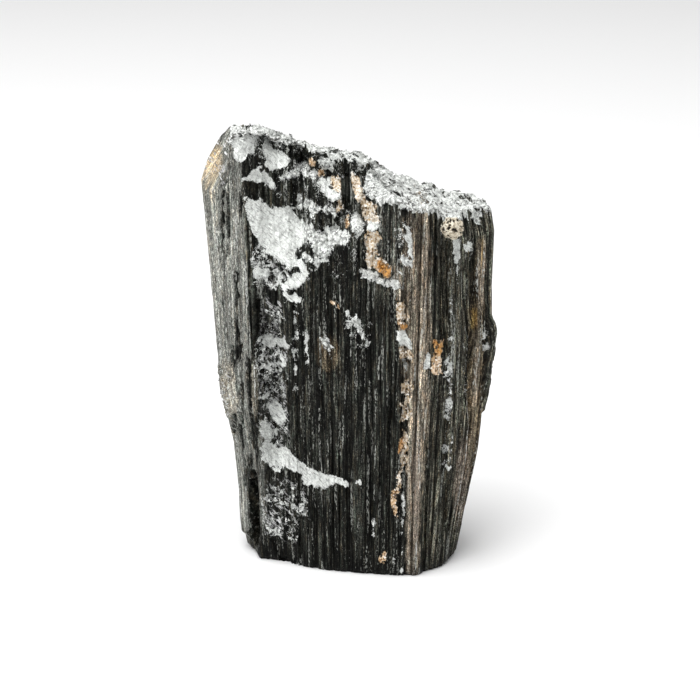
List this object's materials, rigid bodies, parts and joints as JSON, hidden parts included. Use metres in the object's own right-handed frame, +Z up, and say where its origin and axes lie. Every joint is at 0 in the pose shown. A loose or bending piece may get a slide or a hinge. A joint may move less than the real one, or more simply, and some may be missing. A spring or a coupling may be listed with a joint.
{
  "type": "tourmaline crystal",
  "caption": "Raw black tourmaline crystal standing upright: a ribbed prism with a broken slanting head and a chipped front edge.",
  "frame": {"origin": "centre of the foot's outline, on the flat the crystal stands on", "axes": "+Z up along the prism and its ribs, +X to the right and -Y towards the viewer of the chipped front face"},
  "size_m": [0.051, 0.0295, 0.0775],
  "materials": {
    "schorl": "black tourmaline: glassy ribs running up the prism, dull pale grey on the fresh breaks"
  },
  "bodies": {
    "root": {"crystal": "schorl"}
  },
  "joints": []
}
